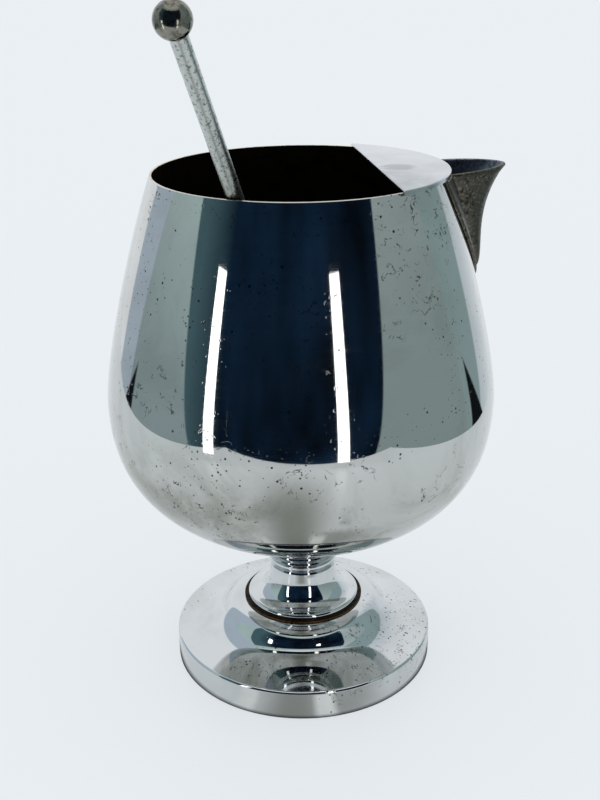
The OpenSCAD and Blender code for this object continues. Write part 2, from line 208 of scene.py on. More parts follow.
def linear(colour):
    """A colour written as sRGB hex, turned linear for a shader."""
    c = np.array([int(colour[i:i + 2], 16) / 255 for i in (0, 2, 4)])
    c = np.where(c <= 0.04045, c / 12.92, ((c + 0.055) / 1.055) ** 2.4)
    return (*c.tolist(), 1.0)


def add(tree, kind, *inputs, out=0, **named):
    """Adds a node. inputs go to its sockets in order, None skips one. Named ones are settings or sockets."""
    n = tree.nodes.new("ShaderNode" + kind)
    sockets = dict(enumerate(inputs))
    for k, v in named.items():
        if hasattr(n, k):
            setattr(n, k, v)
        else:
            sockets[k.replace("_", " ")] = v
    for k, v in sockets.items():
        if isinstance(v, bpy.types.NodeSocket):
            tree.links.new(v, n.inputs[k])
        elif v is not None:
            n.inputs[k].default_value = v
    return n.outputs[out] if n.outputs else n


def material(name):
    """A new empty material, with its tree and its object coordinates."""
    m = bpy.data.materials.new(name)
    m.use_nodes = True
    m.node_tree.nodes.clear()
    return m, m.node_tree, add(m.node_tree, "TexCoord", out=3)


# A mix of colours takes its two colours after five sockets of other kinds
SKIP = (None,) * 5


def old_chrome(name, plate, haze, clouds, pits, worms):
    """Chrome plate on spun brass, buffed to a mirror. With age it has a milky haze in clouds, black pits in
    clusters, and short broken worm lines where corrosion has crept under the plate. The haze is drawn
    thickest on the lower half, and that extra haze there is painted shade. clouds, pits and worms are how
    strongly each of them shows."""
    m, t, at = material(name)
    # Haze in clouds 5 to 40 mm across, three times as strong under the belly as over it: the extra haze below
    # is painted shade that darkens the lower bowl
    cloud = add(t, "TexNoise", Vector=at, Scale=1 / 0.042, Detail=8.0, Roughness=0.66, Distortion=0.7)
    low = add(t, "MapRange", add(t, "SeparateXYZ", at).node.outputs["Z"], 0.14, 0.112, 0.33 * clouds, clouds)
    haze_and_shade = add(t, "MapRange", cloud, 0.4, 0.66, add(t, "Math", low, 0.35, operation="MULTIPLY"), low,
               interpolation_type="SMOOTHSTEP")
    # Pits are 0.3 to 1 mm across, at most one to a cell of 1.7 mm, inside patches of about 30 mm
    cell = add(t, "TexVoronoi", Vector=at, Scale=1 / 0.0017)
    chance = add(t, "SeparateColor", cell.node.outputs["Color"])
    chosen = add(t, "Math", chance, 0.5, operation="GREATER_THAN")
    reach = add(t, "MapRange", add(t, "Math", chance.node.outputs[1], 3.0, operation="POWER"), 0.0, 1.0,
                0.1, 0.3)
    patch = add(t, "TexNoise", Vector=at, Scale=1 / 0.034, Detail=4.0, Roughness=0.65, Distortion=0.4)
    patch = add(t, "MapRange", patch, 0.49, 0.58, 0.0, pits, interpolation_type="SMOOTHSTEP")
    soft_edge = add(t, "Math", reach, 0.07, operation="ADD")
    dot = add(t, "MapRange", cell, soft_edge, reach, interpolation_type="SMOOTHSTEP")
    dot = add(t, "Math", add(t, "Math", dot, chosen, operation="MULTIPLY"), patch, operation="MULTIPLY")
    # Worm lines are level lines of a noise, about 0.3 mm wide and broken every few millimetres
    level = add(t, "TexNoise", Vector=at, Scale=1 / 0.005, Detail=2.0, Distortion=0.8)
    level = add(t, "Math", add(t, "Math", level, 0.5, operation="SUBTRACT"), operation="ABSOLUTE")
    worm = add(t, "MapRange", level, 0.022, 0.005, 0.0, 1.0, interpolation_type="SMOOTHSTEP")
    gaps = add(t, "MapRange", add(t, "TexNoise", Vector=at, Scale=1 / 0.0042, Detail=1.0), 0.55, 0.6)
    # They crowd in areas of about 40 mm, more of them on the lower half
    area = add(t, "TexNoise", Vector=at, Scale=1 / 0.04, Detail=2.0)
    area = add(t, "Math", low, 0.1, area, operation="MULTIPLY_ADD")
    area = add(t, "MapRange", area, 0.53, 0.61, 0.0, worms, interpolation_type="SMOOTHSTEP")
    worm = add(t, "Math", add(t, "Math", worm, gaps, operation="MULTIPLY"), area, operation="MULTIPLY")
    marks = add(t, "Math", dot, worm, operation="MAXIMUM", use_clamp=True)
    tone = add(t, "Mix", haze_and_shade, *SKIP, linear(plate), linear(haze), data_type="RGBA", out=2)
    tone = add(t, "Mix", marks, *SKIP, tone, linear("191714"), data_type="RGBA", out=2)
    # Buffing lines run round the piece. Real ones are 0.1 mm apart, and these are drawn at 0.8 mm
    turned = add(t, "Mapping", at, Scale=(0.03, 0.03, 1.0))
    lines = add(t, "TexNoise", Vector=turned, Scale=1 / 0.0008, Detail=2.0)
    dull = add(t, "MapRange", lines, 0.4, 0.7, 0.015, 0.045)
    dull = add(t, "Math", haze_and_shade, 0.09, dull, operation="MULTIPLY_ADD")
    dull = add(t, "Math", marks, 0.1, dull, operation="MULTIPLY_ADD")
    sunk = add(t, "Math", marks, -1.0, operation="MULTIPLY")
    bump = add(t, "Bump", Strength=0.08, Distance=0.0002, Height=sunk)
    add(t, "OutputMaterial",
        add(t, "BsdfPrincipled", Base_Color=tone, Metallic=1.0, Roughness=dull, Normal=bump))
    return m


def speckled_metal(name, colour, dark, grain, smooth, rough, specks, light=None):
    """Bare or oxidised metal: one colour, with specks of a darker one that are about grain metres across, and
    where light is given, flecks of that colour a third as large, where a rough skin has been rubbed bright.
    smooth and rough are the two ends of its roughness, and specks is how strongly the specks show."""
    m, t, at = material(name)
    n = add(t, "TexNoise", Vector=at, Scale=1 / grain, Detail=3.0, Roughness=0.6)
    spot = add(t, "MapRange", n, 0.52, 0.66, 0.0, specks, interpolation_type="SMOOTHSTEP")
    tone = add(t, "Mix", spot, *SKIP, linear(colour), linear(dark), data_type="RGBA", out=2)
    if light:
        fleck = add(t, "TexNoise", Vector=at, Scale=3 / grain, Detail=2.0)
        fleck = add(t, "MapRange", fleck, 0.56, 0.66, 0.0, 0.8)
        tone = add(t, "Mix", fleck, *SKIP, tone, linear(light), data_type="RGBA", out=2)
    dull = add(t, "MapRange", n, 0.3, 0.7, smooth, rough)
    bump = add(t, "Bump", Strength=0.25, Distance=0.0001, Height=n)
    add(t, "OutputMaterial",
        add(t, "BsdfPrincipled", Base_Color=tone, Metallic=1.0, Roughness=dull, Normal=bump))
    return m


# The rubbed spot on the guard, in metres
RUBBED_SPOT = (0.0405, -0.009, 0.23)


def rubbed_sheet(name, plate, smear):
    """Satin chrome on flat sheet, brushed before it was plated, so it is a blurred mirror. Hands have left
    thin smears 10 to 40 mm across on it, more of them toward the front edge, and one rubbed spot near the
    chord."""
    m, t, at = material(name)
    cloud = add(t, "TexNoise", Vector=at, Scale=1 / 0.03, Detail=5.0, Roughness=0.6, Distortion=0.4)
    front = add(t, "MapRange", add(t, "SeparateXYZ", at).node.outputs["Y"], 0.035, -0.035, 0.1, 0.9)
    wiped = add(t, "MapRange", cloud, 0.35, 0.7, add(t, "Math", front, 0.3, operation="MULTIPLY"), front)
    # The spot is about 12 mm across, and the clouds make its outline uneven
    spot = add(t, "VectorMath", at, RUBBED_SPOT, operation="DISTANCE", out=1)
    spot = add(t, "Math", cloud, 0.02, spot, operation="MULTIPLY_ADD")
    spot = add(t, "MapRange", spot, 0.019, 0.014, 0.0, 0.9, interpolation_type="SMOOTHSTEP")
    wiped = add(t, "Math", wiped, spot, operation="MAXIMUM")
    tone = add(t, "Mix", wiped, *SKIP, linear(plate), linear(smear), data_type="RGBA", out=2)
    dull = add(t, "MapRange", cloud, 0.3, 0.7, 0.18, 0.28)
    add(t, "OutputMaterial", add(t, "BsdfPrincipled", Base_Color=tone, Metallic=1.0, Roughness=dull))
    return m


# The bowl has the dullest chrome, and the stem and the foot have kept more of their shine
CHROME = old_chrome("bowl_chrome_old", "d2d4d2", "84867a", 0.8, 0.95, 0.85)
CHROME_FOOT = old_chrome("foot_chrome_old", "dcdfe0", "9c9c96", 0.3, 0.85, 0.6)
# Tin, washed over the spun inside: it has gone dark brown and nearly matt, in clouds 12 mm across
INSIDE = speckled_metal("bowl_inside_dark_tin", "2e2820", "15110d", 0.012, 0.45, 0.6, 0.8)
# Brass, bared by rubbing along the rim: pale gold, with darker dents 3 mm across
WORN_EDGE = speckled_metal("rim_worn_brass", "d8ccb4", "8a7a5f", 0.003, 0.15, 0.35, 0.7)
SATIN = rubbed_sheet("guard_satin_plate", "d9dcdf", "95999a")
# White metal, cast in sand, its plate long gone: a dark grey skin in patches of 3 mm, rubbed bright on its
# grains. Real grains are 0.3 mm, and these are drawn at 1 mm
CAST = speckled_metal("spout_worn_casting", "524f47", "24231f", 0.003, 0.3, 0.5, 0.8, light="7f7b70")
# The same casting inside the trough, smoother and in a paler bluish grey: its blue tint is a painted
# reflection of the tent's dark blue opening
CAST_INSIDE_PAINTED_REFLECTION = speckled_metal("spout_inside_painted_reflection", "71747f", "33353c", 0.003, 0.25, 0.4, 0.8, light="8d909a")
# Mild steel, stamped from sheet and rusted: brown, with nearly black scabs 1.6 mm across
RUST = speckled_metal("ring_rusted_steel", "755a40", "17110c", 0.0016, 0.35, 0.6, 0.95)
# Grease and rust that were pressed into the joint on the ring's flats, together with painted shade of the
# narrow gaps beside them: nearly black and dull
GRIME_AND_GAP_SHADE = speckled_metal("ring_grime_and_painted_shade", "35291d", "120e0a", 0.0016, 0.45, 0.7, 0.8)
# Steel with barrel zinc plate: an even pale grey, faintly blotched every 2.5 mm
STEEL = speckled_metal("hardware_zinc_plate", "a7a9a9", "85867f", 0.0025, 0.25, 0.4, 0.5)
# Brass, turned from bar: dull gold, faintly stained every 2.5 mm
BRASS = speckled_metal("boss_turned_brass", "b89a5c", "7d6434", 0.0025, 0.25, 0.4, 0.4)
# Plated steel, drawn through a die: a bright rod with dark pocks about 1.3 mm across
ROD = speckled_metal("rod_drawn_steel", "c0c5c1", "585b56", 0.0013, 0.2, 0.4, 0.75)
# Brass, turned and plated, then tarnished: a dark mirror with blotches 1.6 mm across
BALL = speckled_metal("ball_tarnished_plate", "88867c", "3c3a33", 0.0016, 0.07, 0.2, 0.7)

# The bowl's line: two cubic curves from the edge of its seat to the rim
rim_out_r = RIM_R + BOWL_WALL / unit(RIM_SLOPE)[0]
seat, belly, rim = np.array([SEAT_R, FLOOR_H]), np.array([BELLY_R, BELLY_H]), np.array([rim_out_r, RIM_H])
low_handle = seat + FLOOR_HANDLE * (BELLY_R - SEAT_R) * unit(FLOOR_SLOPE)
high_handle = rim + RIM_HANDLE * (RIM_H - BELLY_H) * np.array([unit(RIM_SLOPE)[1], -unit(RIM_SLOPE)[0]])


def bowl_high(t):
    """The bowl's line over the belly, at the shares t."""
    return curve(belly, belly + [0, BELLY_HIGH_HANDLE * (RIM_H - BELLY_H)], high_handle, rim, t)


def bowl_low(t):
    """The bowl's line under the belly, at the shares t."""
    return curve(seat, low_handle, belly - [0, BELLY_LOW_HANDLE * (BELLY_H - FLOOR_H)], belly, t)


share = np.linspace(0, 1, 801)
table = np.vstack([bowl_low(share), bowl_high(share)[1:]])


def bowl_out(h):
    """Outside radius of the bowl at a height."""
    return np.interp(h, table[:, 1], table[:, 0])


def trough_half(h):
    """Half width of the spout's trough at a height: a round part and a part that narrows downward."""
    t = np.clip((RIM_H - h) / TROUGH_DROP, 0, 1)
    round_part, narrowing = np.sqrt(1 - t ** ROUND_POWER), (1 - t) ** TROUGH_POWER
    return TROUGH_HALF_W * (TROUGH_ROUND * round_part + (1 - TROUGH_ROUND) * narrowing)


def notch_half(h):
    """Half width of the pouring notch at a height, inside the trough by its wall and a ledge."""
    opens = np.clip((h - NOTCH_LOW) / (RIM_H - NOTCH_LOW), 0, 1) ** NOTCH_POWER
    return (trough_half(h) - TROUGH_WALL - NOTCH_LEDGE) * opens


# The notch's rows lie closest at its low point, where it opens fastest, and both faces have the same heights
notch_h = NOTCH_LOW + (RIM_H - 0.6 - NOTCH_LOW) * np.linspace(0, 1, 25) ** 3
inner_table = bowl_high(share)
inner_table = inner_table[:, :2] - BOWL_WALL * inner_table[:, 2:]
t_out = np.interp(notch_h, bowl_high(share)[:, 1], share)
t_in = np.interp(notch_h, inner_table[:, 1], share)
t_low = np.linspace(0, 1, 60)
outer_high = bowl_high(np.r_[np.linspace(0, t_out[0], 34)[:-1], t_out])
inner_high = other_face(bowl_high(np.r_[np.linspace(0, t_in[0], 34)[:-1], t_in]), BOWL_WALL)
inner_low = other_face(bowl_low(t_low), BOWL_WALL)
inner_corner = [SEAT_R - 0.15 * BOWL_WALL, FLOOR_H + BOWL_WALL]
inner_low = inner_low[inner_low[:, 1] > inner_corner[1] + 0.3]
rim_top = chain(straight(outer_high[-1, :2], rim), straight(rim, [RIM_R, RIM_H]),
                straight([RIM_R, RIM_H], inner_high[0, :2]), edge=0.28)
bowl_profile = np.vstack([
    chain(straight([0, FLOOR_H], seat, 3), bowl_low(t_low), edge=0.4), outer_high[1:], rim_top[1:-1],
    inner_high, inner_low[1:-1], chain(straight(inner_low[-1, :2], inner_corner),
                                       straight(inner_corner, [0, FLOOR_H + BOWL_WALL], 3), edge=0.2)])


def notched(profile, columns):
    """The bowl: point (r, z) at share u of the turn goes to angle a + u (360 - 2 a) degrees, where a is the
    angle at which the radius r crosses the notch's side, or 0 under the notch. Flat faces close the cut."""
    side = profile[1:-1]
    r, z = side[:, 0], side[:, 1]
    cut = z > NOTCH_LOW + 1e-4
    a = np.where(cut, np.arcsin(np.clip(notch_half(z) / r, 0, 1)), 0)
    turn = a[:, None] + np.arange(columns + 1) / columns * (2 * np.pi - 2 * a[:, None])
    ring = np.stack([np.cos(turn), np.sin(turn)], -1)
    level = np.ones((len(side), columns + 1, 1))
    points = np.concatenate([r[:, None, None] * ring, z[:, None, None] * level], -1).reshape(-1, 3)
    normals = np.concatenate([side[:, 2, None, None] * ring, side[:, 3, None, None] * level], -1)
    normals = normals.reshape(-1, 3)
    # The last column is the first one again, except beside the notch, where it is its own
    at = np.arange(len(side) * (columns + 1)).reshape(len(side), columns + 1)
    at[~cut, columns] = at[~cut, 0]
    skin = np.stack([at[:-1, :-1], at[:-1, 1:], at[1:, 1:], at[1:, :-1]], -1).reshape(-1, 4)
    first, last = np.flatnonzero(cut)[[0, -1]] + np.array([-1, 1])
    i = np.arange((last - first) // 2)
    up, down = first + i, last - i
    near = np.stack([at[up, 0], at[up + 1, 0], at[down - 1, 0], at[down, 0]], 1)
    far = np.stack([at[up, columns], at[down, columns], at[down - 1, columns], at[up + 1, columns]], 1)
    poles = np.arange(2) + at.size
    j = np.arange(columns)
    caps = np.vstack([np.stack([np.full(columns, poles[0]), at[0, j + 1], at[0, j]], 1),
                      np.stack([np.full(columns, poles[1]), at[-1, j], at[-1, j + 1]], 1)])
    points = np.vstack([points, [[0, 0, profile[0, 1]], [0, 0, profile[-1, 1]]]])
    normals = np.vstack([normals, [[0, 0, -1], [0, 0, 1]]])
    faces = [caps, skin, near, far]
    used = np.unique(np.concatenate([f.ravel() for f in faces]))
    new = np.zeros(len(points), int)
    new[used] = np.arange(len(used))
    return points[used], [new[f] for f in faces], normals[used], len(near) + len(far)


points, faces, normals, cut_faces = notched(bowl_profile, 288)
middles = np.vstack([points[f].mean(1) for f in faces])
# What lies a wall's depth in is the dark inside, and the rim's top is worn
depth = bowl_out(middles[:, 2]) - np.hypot(middles[:, 0], middles[:, 1])
inside = (depth > 0.93 * BOWL_WALL) & (middles[:, 2] > FLOOR_H + 0.5)
edge = (middles[:, 2] > RIM_H - 0.12) & (depth > 0.25)
piece("bowl_spun", points, faces, CHROME, normals, nodes=["bowl"], flat=cut_faces,
      others=[INSIDE, WORN_EDGE], finish=np.where(edge, 2, np.where(inside, 1, 0)))

# The stem, from its lip over a cove to the waist and up the flare to the bowl, then back down inside
stem_low = HUB_H + RING_T
waist_h = stem_low + FLARE_H + WAIST_RAISE
lip_mid = np.array([STEM_LIP_R - LIP_ROUND, stem_low + LIP_H])
rise = FLOOR_H - waist_h
top_way = unit(STEM_TOP_SLOPE)[::-1]
stem_top = np.array([STEM_TOP_R, FLOOR_H])
flare = curve([WAIST_R, waist_h], [WAIST_R, waist_h + WAIST_HANDLE * rise],
              stem_top - STEM_TOP_HANDLE * rise * top_way, stem_top, np.linspace(0, 1, 150))
# The rings are a sine of the height, added along the flare's normals, which tilt by its slope along the line
above = flare[:, 1] - RINGS_FROM
fade = np.clip(above / RING_FADE, 0, 1) * np.clip((FLOOR_H - flare[:, 1]) / RING_FADE, 0, 1)
ripple = RING_DEPTH * fade * np.sin(2 * np.pi * above / RING_PITCH)
along = np.r_[0, np.cumsum(np.linalg.norm(np.diff(flare[:, :2], axis=0), axis=1))]
tilt = np.gradient(ripple, along)[:, None] * np.stack([-flare[:, 3], flare[:, 2]], 1)
flare[:, :2] += ripple[:, None] * flare[:, 2:]
flare[:, 2:] -= tilt
flare[:, 2:] /= np.linalg.norm(flare[:, 2:], axis=1)[:, None]
# The cove is a quarter of an ellipse from the lip's top to the waist
turn = np.radians(np.linspace(270, 180, 40))
cove_w, cove_h = lip_mid[0] - WAIST_R, waist_h - lip_mid[1] - LIP_ROUND
lean = np.stack([-cove_h * np.cos(turn), -cove_w * np.sin(turn)], 1)
cove = np.hstack([np.stack([WAIST_R + cove_w * (1 + np.cos(turn)), waist_h + cove_h * np.sin(turn)], 1),
                  np.abs(lean) / np.linalg.norm(lean, axis=1)[:, None]])
stem_line = chain(straight([STEM_LIP_R, stem_low], [STEM_LIP_R, lip_mid[1]]),
                  round_corner(lip_mid, LIP_ROUND, 0, 90), cove, flare)
stem_back = other_face(stem_line, STEM_WALL)
stem_back = stem_back[stem_back[:, 1] < FLOOR_H - 0.2]
stem_in = [stem_back[0, 0] + 0.1, FLOOR_H]
stem_foot = [stem_back[-1, 0], stem_low]
# Known fault: stem_back already ends at stem_foot, so the straight line between them has no length and leaves
# 10 rows that aren't numbers
stem_profile = chain(stem_line, straight(stem_top, stem_in), straight(stem_in, stem_back[0, :2]), stem_back,
                     straight(stem_back[-1, :2], stem_foot), straight(stem_foot, [STEM_LIP_R, stem_low]),
                     edge=0.05)
points, faces, normals = spun(stem_profile, 192)
piece("stem_spun", points, faces, CHROME_FOOT, normals, nodes=["stem"])

# The ring: its rusted edge shows, and its two flats are dark with grime and with painted shade of the gaps
# beside them
bore_r = RING_BORE * RING_R
ring_profile = chain(straight([bore_r, HUB_H], [RING_R, HUB_H], 2),
                     straight([RING_R, HUB_H], [RING_R, stem_low]),
                     straight([RING_R, stem_low], [bore_r, stem_low], 2),
                     straight([bore_r, stem_low], [bore_r, HUB_H]), edge=0.2)
points, faces, normals = spun(ring_profile, 256)
lies_flat = np.abs(normals[faces[0]].mean(1)[:, 2]) > 0.6
piece("ring_rusted", points, faces, RUST, normals, nodes=["stem_ring"], others=[GRIME_AND_GAP_SHADE],
      finish=lies_flat)

# The foot, from its hem up over the rim, the skirt, the step and the hub, then back underneath
brow, step = np.array([FOOT_R - BROW_R, FOOT_RIM_H - BROW_R]), np.array([STEP_R, STEP_H])
step_way, brow_way = unit(-STEP_SLOPE), unit(-BROW_SLOPE)
brow_start = brow + BROW_R * unit(90 - BROW_SLOPE)
hub_span, skirt_span = STEP_R - HUB_R, brow_start[0] - STEP_R
skirt = curve(brow_start, brow_start - BROW_HANDLE * skirt_span * brow_way,
              step + SKIRT_HANDLE * skirt_span * step_way, step, np.linspace(0, 1, 50))
shoulder = curve(step, step - STEP_HANDLE * hub_span * step_way, [HUB_R + HUB_HANDLE * hub_span, HUB_H],
                 [HUB_R, HUB_H], np.linspace(0, 1, 40))
foot_line = chain(straight([FOOT_R - HEM_W, 0], [FOOT_R - EDGE_ROUND, 0], 2),
                  round_corner([FOOT_R - EDGE_ROUND, EDGE_ROUND], EDGE_ROUND, -90, 0),
                  straight([FOOT_R, EDGE_ROUND], [FOOT_R, FOOT_RIM_H - BROW_R], 3),
                  round_corner(brow, BROW_R, 0, 90 - BROW_SLOPE, 16), skirt, shoulder,
                  straight([HUB_R, HUB_H], [STUD_D / 2 + STUD_GAP, HUB_H], 3))
foot_back = other_face(foot_line, FOOT_WALL)
foot_profile = chain(foot_line, straight(foot_line[-1, :2], foot_back[0, :2]), foot_back,
                     straight(foot_back[-1, :2], foot_line[0, :2]), edge=0.1)
points, faces, normals = spun(foot_profile)
piece("foot_spun", points, faces, CHROME_FOOT, normals, nodes=["foot"])


ROOT_K, KEEL_K = 5, 20


def spout_skin(k, up, proud, wall):
    """A face of the spout, in whole arrays. k runs from the flange's edge at 0 over the trough's root at 5 to
    the keel at 20, and up from 0 at the tip to 1 at the top. The flange wraps the bowl a thickness proud of
    it. The trough's plan is y = root (cos a)^1.2 and x = face + (keel - face) (sin a)^1.11, with a from 0 to
    90."""
    keel_bend = 2 / PLAN_POWER
    a = np.radians(90 * np.clip(k - ROOT_K, 0, None) / (KEEL_K - ROOT_K))
    low = RIM_H - TROUGH_DROP - FLANGE_TAIL
    top = RIM_H - GUARD_SKIRT - SEAT_GAP + LIP_RISE * np.sin(a) ** keel_bend
    h = low + (top - low) * (1 - np.cos(np.pi / 2 * up ** ROW_POWER))
    t = np.clip((RIM_H - h) / TROUGH_DROP, 0, 1)
    flange = np.clip((RIM_H - h) / (TROUGH_DROP + FLANGE_TAIL), 0, 1)
    flange = np.maximum(FLANGE_TIP_HALF, FLANGE_HALF_W * (1 - flange ** 2) ** FLANGE_POWER)
    root = np.minimum(np.maximum(trough_half(h) - wall, 0.8), flange * 0.99)
    keel_out = SPOUT_REACH - rim_out_r - SEAT_GAP - FLANGE_T
    keel_out = keel_out * (KEEL_ROUND * np.sqrt(1 - t ** ROUND_POWER)
                           + (1 - KEEL_ROUND) * (1 - t) ** KEEL_POWER)
    y = np.where(k < ROOT_K, flange + (root - flange) * np.minimum(k, ROOT_K) / ROOT_K,
                 root * np.cos(a) ** (2 * PLAN_SIDE_POWER))
    r = bowl_out(h) + SEAT_GAP
    # The flange's edge is rounded down to half its thickness
    thin = 0.5 + 0.5 * np.sqrt(1 - np.clip(1 - k / 0.4, 0, 1) ** 2)
    face = np.sqrt((r + proud * thin) ** 2 - y ** 2)
    at_root = np.sqrt((r + proud) ** 2 - root ** 2)
    keel = r + proud + np.maximum(keel_out + (0 if proud else FLANGE_T) - wall, 0)
    x = np.where(k <= ROOT_K, face, at_root + (keel - at_root) * np.sin(a) ** keel_bend)
    return np.stack([x, y, h], -1)


def spout():
    """The spout: its outer skin from the tip up, a half round over the wall's top, and its inner skin down
    again. One half is worked out and mirrored. It also tells which faces are the inner skin."""
    half = np.r_[0, 0.03, 0.08, 0.16, 0.28, 0.4, np.linspace(0.7, ROOT_K, 9),
                 np.linspace(ROOT_K, KEEL_K, 46)[1:]]
    k = np.r_[half, half[-2::-1]][None, :]
    side = np.r_[np.ones(len(half)), -np.ones(len(half) - 1)][:, None]
    up = np.linspace(0, 1, 60)[:, None]
    outer, inner = spout_skin(k, up, FLANGE_T, 0), spout_skin(k, up, 0, TROUGH_WALL)
    wall = np.linalg.norm(outer[-1] - inner[-1], axis=1)[:, None]
    turn = np.linspace(0, np.pi, 11)[:, None, None]
    over = (outer[-1] + inner[-1]) / 2 + (outer[-1] - inner[-1]) / 2 * np.cos(turn)
    over = over + np.array([0, 0, 1.0]) * wall / 2 * (np.sin(turn) - 1)
    grid = np.concatenate([outer[:-3], over, inner[:-3][::-1]])
    grid[..., 1:2] *= side
    n, c = grid.shape[:2]
    i, j = np.arange(n // 2), np.arange(c - 1)
    left = np.stack([i * c, (i + 1) * c, (n - 2 - i) * c, (n - 1 - i) * c], 1)
    right = left[:, ::-1] + c - 1
    base = np.stack([j, (n - 1) * c + j, (n - 1) * c + j + 1, j + 1], 1)
    faces = [quads(n, c, closed=False)[:, ::-1], left[left[:, 1] != left[:, 2]],
             right[right[:, 1] != right[:, 2]], base]
    row = np.arange(sum(len(f) for f in faces)) // (c - 1)
    inner_rows = (row > len(outer) + 2) & (row < n - 1)
    return grid.reshape(-1, 3), faces, inner_rows


# The trough's inner skin takes the casting with the painted reflection of the tent's dark opening
points, faces, inner_skin = spout()
piece("spout_cast", points, faces, CAST, nodes=["spout"], crease=40, others=[CAST_INSIDE_PAINTED_REFLECTION],
      finish=inner_skin)


def guard():
    """The guard: each point of its plan's outline, the arc and then the chord, carries a profile of insets
    and heights, from the underside out, down and up round the edge, over a bend and in along the top. Along
    the arc the edge is turned down past the rim, and along the chord it ends at the sheet's underside. The
    two flats run on to the middle of the plan."""
    corner = math.acos(GUARD_CHORD / GUARD_R)
    arc = np.linspace(-corner, corner, 241)
    chord = np.linspace(1, -1, 181)[1:-1] * GUARD_R * math.sin(corner)
    tips = [0, len(arc) - 1]
    out = np.vstack([np.stack([np.cos(arc), np.sin(arc)], 1), np.tile([-1.0, 0.0], (len(chord), 1))])
    plan = np.vstack([GUARD_R * out[:len(arc)], np.stack([chord * 0 + GUARD_CHORD, chord], 1)])
    way = out.copy()
    ends = out[tips] + [-1, 0]
    way[tips] = ends / (1 - out[tips, :1])
    out[tips] = ends / np.linalg.norm(ends, axis=1)[:, None]
    bend, inmost, top, low = 0.7, -3, RIM_H + GUARD_WALL, RIM_H - GUARD_SKIRT
    over = [round_corner([-bend, top - bend], bend, 0, 90, 8), straight([-bend, top], [inmost, top])]
    turned = chain(straight([inmost, RIM_H], [-GUARD_WALL, RIM_H]),
                   straight([-GUARD_WALL, RIM_H], [-GUARD_WALL, low]), straight([-GUARD_WALL, low], [0, low]),
                   straight([0, low], [0, top - bend]), *over, steps=3)
    plain = chain(straight([inmost, RIM_H], [0, RIM_H]), straight([0, RIM_H], [0, top - bend]), *over,
                  steps=3)
    # The chord's profile is shorter, so it gets points on its underside until both have as many
    more = np.linspace(0.1, 0.7, len(turned) - len(plain) + 2)[1:-1, None]
    plain = np.vstack([plain[:1], plain[0] + more * (plain[1] - plain[0]), plain[1:]])
    on_arc = np.r_[np.ones(len(arc)), np.zeros(len(chord))][:, None, None]
    on_arc[tips] = 0
    rows = (on_arc * turned + (1 - on_arc) * plain).transpose(1, 0, 2)
    # Near the two corners, insets from the arc and from the chord meet and go no further
    flat, inset = plan + way * rows[..., :1], -rows[..., 0]
    x = np.maximum(flat[..., 0], GUARD_CHORD + inset)
    y = np.sqrt(np.maximum((GUARD_R - inset) ** 2 - x ** 2, 0))
    points = np.stack([x, np.clip(flat[..., 1], -y, y), rows[..., 1]], -1)
    normals = np.concatenate([out * rows[..., 2:3], rows[..., 3:]], -1)
    middle = np.array([(GUARD_CHORD + GUARD_R) / 2, 0])
    inward = np.array([0.3, 0.65])[:, None, None]
    low_edge, top_edge = points[:1], points[-1:]
    low_rows = middle + (low_edge[..., :2] - middle) * inward
    low_rows = np.concatenate([low_rows, low_edge[[0, 0], :, 2:]], -1)
    top_rows = middle + (top_edge[..., :2] - middle) * inward[::-1]
    top_rows = np.concatenate([top_rows, top_edge[[0, 0], :, 2:]], -1)
    grid = np.concatenate([low_rows, points, top_rows])
    up = np.zeros_like(top_rows)
    up[..., 2] = 1
    normals = np.concatenate([-up, normals, up])
    n, c = grid.shape[:2]
    j, j1 = np.arange(c), (np.arange(c) + 1) % c
    poles = np.array([[*middle, RIM_H], [*middle, top]])
    return (np.vstack([grid.reshape(-1, 3), poles]),
            [quads(n, c), np.stack([np.full(c, n * c), j1, j], 1),
             np.stack([np.full(c, n * c + 1), (n - 1) * c + j, (n - 1) * c + j1], 1)],
            np.vstack([normals.reshape(-1, 3), [[0, 0, -1], [0, 0, 1]]]))


points, faces, normals = guard()
piece("guard_sheet", points, faces, SATIN, normals, nodes=["ice_guard"])


def along_rod(points, normals):
    """Places a shape drawn along Z from the rim's level on the leaning rod: turned by the lean about Y and by
    the rod's direction about Z, then moved to where the rod's axis crosses that level."""
    (cl, sl), (ca, sa) = unit(ROD_LEAN), unit(ROD_AZ)
    turned = np.array([[ca * cl, -sa, ca * sl], [sa * cl, ca, sa * sl], [-sl, 0, cl]])
    cross_r = RIM_R - (ROD_D / 2 + SEAT_GAP) / cl
    return points @ turned.T + [*(cross_r * unit(REST_AZ)), RIM_H], normals @ turned.T


# The rod, from its round lower end up to the tenon in the ball
ball_r, rod_r = BALL_D / 2, ROD_D / 2
rod_top = ROD_OUT - ball_r * math.sqrt(1 - BALL_FLAT_SHARE ** 2)
tenon_r, tenon_top = TENON_D_SHARE * rod_r, rod_top + TENON_L_SHARE * BALL_D
rod_profile = chain(round_corner([0, -ROD_DOWN], rod_r, -90, 0, 16),
                    straight([rod_r, -ROD_DOWN], [rod_r, rod_top], 80),
                    straight([rod_r, rod_top], [tenon_r, rod_top]),
                    straight([tenon_r, rod_top], [tenon_r, tenon_top]),
                    straight([tenon_r, tenon_top], [0, tenon_top]), edge=0.25)
points, faces, normals = spun(rod_profile, 64)
points, normals = along_rod(points, normals)
piece("rod_drawn", points, faces, ROD, normals, body="stirrer", nodes=["stirring_rod"])

